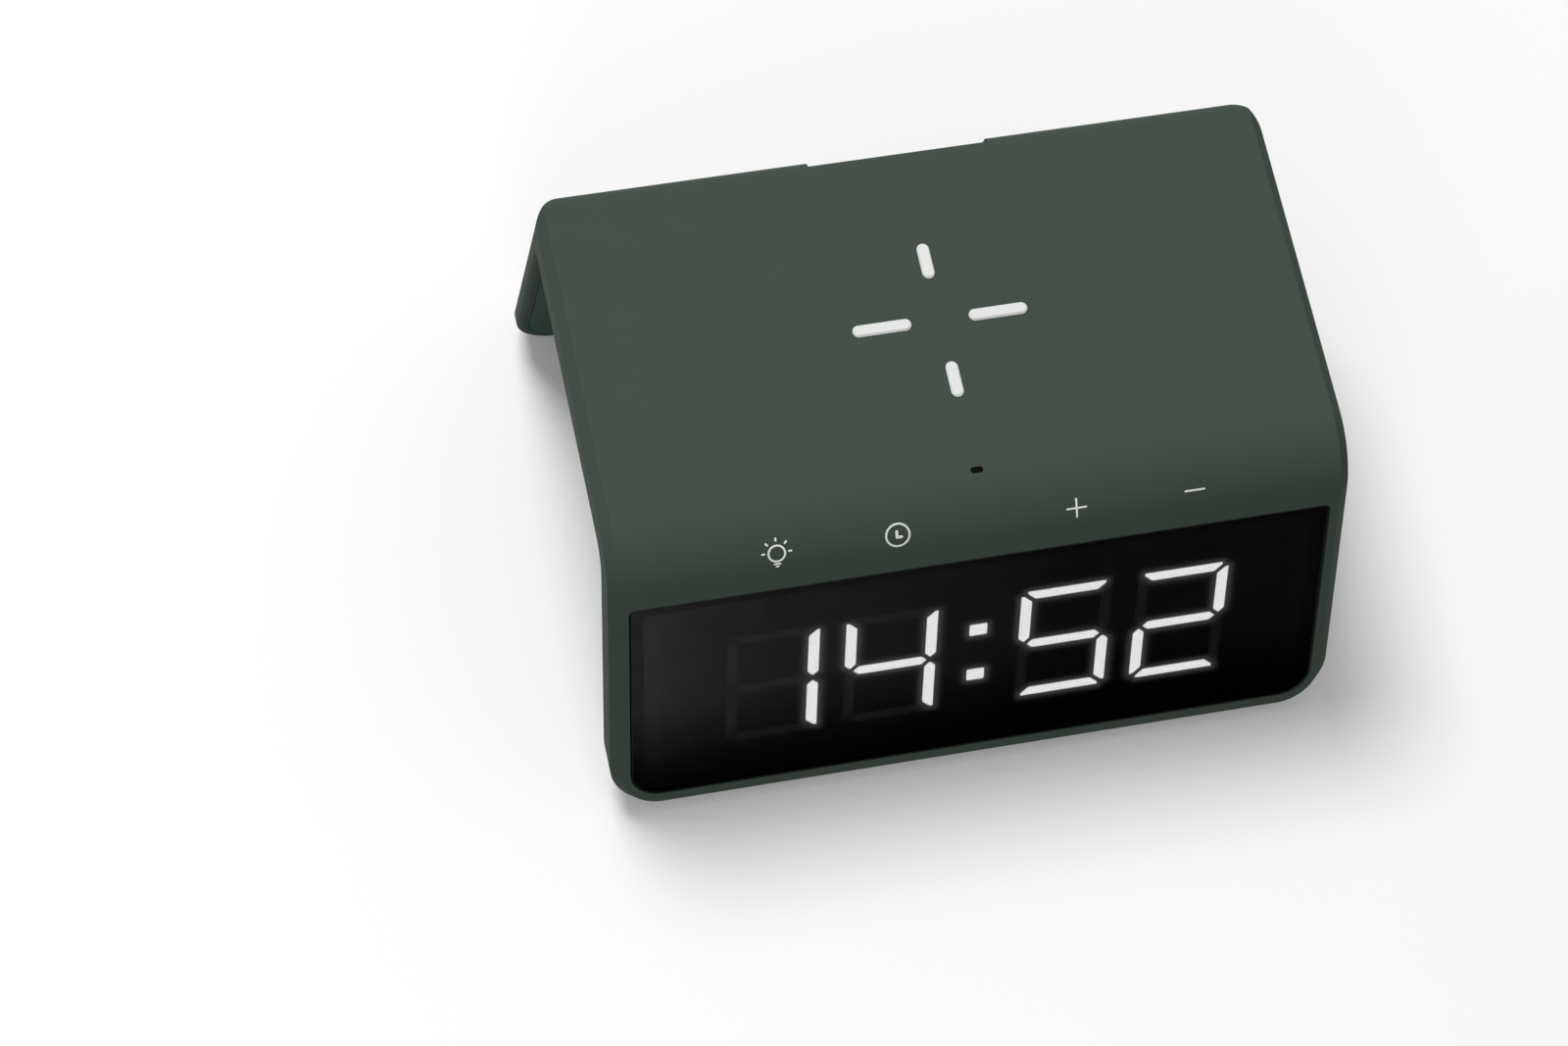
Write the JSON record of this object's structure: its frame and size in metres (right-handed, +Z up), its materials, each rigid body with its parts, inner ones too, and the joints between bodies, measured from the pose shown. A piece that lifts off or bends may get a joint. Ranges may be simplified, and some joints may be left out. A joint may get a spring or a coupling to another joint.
{
  "type": "wireless charging alarm clock",
  "caption": "Bent one-piece table clock with a tilted display front, touch marks on the bend, a flat phone charging plate on top and a rear leg with a power socket.",
  "frame": {"origin": "middle of the box that holds the clock, on the surface that its feet stand on", "axes": "+X across the width, to the right as the display is read; +Y from the display towards the rear leg; +Z up"},
  "size_m": [0.145, 0.113, 0.0657],
  "materials": {
    "shell_plastic": "fine matte soft-touch moulding",
    "cover_plastic": "fine matte moulding",
    "lens_plastic": "smooth dark tinted sheet",
    "adhesive": "thin black double-sided tape",
    "black_plastic": "black moulding",
    "lit_segment": "white diffuser, lit",
    "dark_segment": "diffuser, unlit",
    "board": "solder mask",
    "led": "small lamp package",
    "chip": "moulded package",
    "film": "flexible printed film",
    "copper": "bare copper",
    "pipe": "smoked light pipe",
    "grip": "white matt grip",
    "ferrite": "sintered sheet",
    "foam": "thin foam",
    "steel": "plain steel",
    "wire": "insulated lead",
    "foot": "rubber strip"
  },
  "bodies": {
    "housing": {"outer_shell": "shell_plastic", "inner_cover": "cover_plastic", "grip_bars": "grip", "front_foot": "foot", "rear_foot": "foot", "display_lens": "lens_plastic", "lens_adhesive": "adhesive", "segment_reflector": "black_plastic", "lit_segments": "lit_segment", "dark_segments": "dark_segment", "display_board": "board", "segment_leds": "led", "display_driver": "chip", "touch_film": "film", "touch_pads": "copper", "display_ribbon": "film", "indicator_pipe": "pipe", "indicator_led": "led", "charging_coil": "copper", "ferrite_shield": "ferrite", "coil_pad": "foam", "coil_leads": "wire", "main_board": "board", "board_chips": "chip", "power_inlet": "steel", "inlet_tongue": "black_plastic", "coin_cell": "steel", "cell_contacts": "steel", "buzzer": "black_plastic", "buzzer_leads": "wire", "case_screws": "steel", "board_screws": "steel"},
    "battery_cap": {"battery_cap": "cover_plastic"}
  },
  "joints": [
    {"name": "battery_cap_turn", "type": "hinge", "parent": "housing", "child": "battery_cap", "pos_m": [0.0484, 0.02207, 0.0562], "axis": [0, 0, -1], "range_deg": [0, 45]}
  ]
}
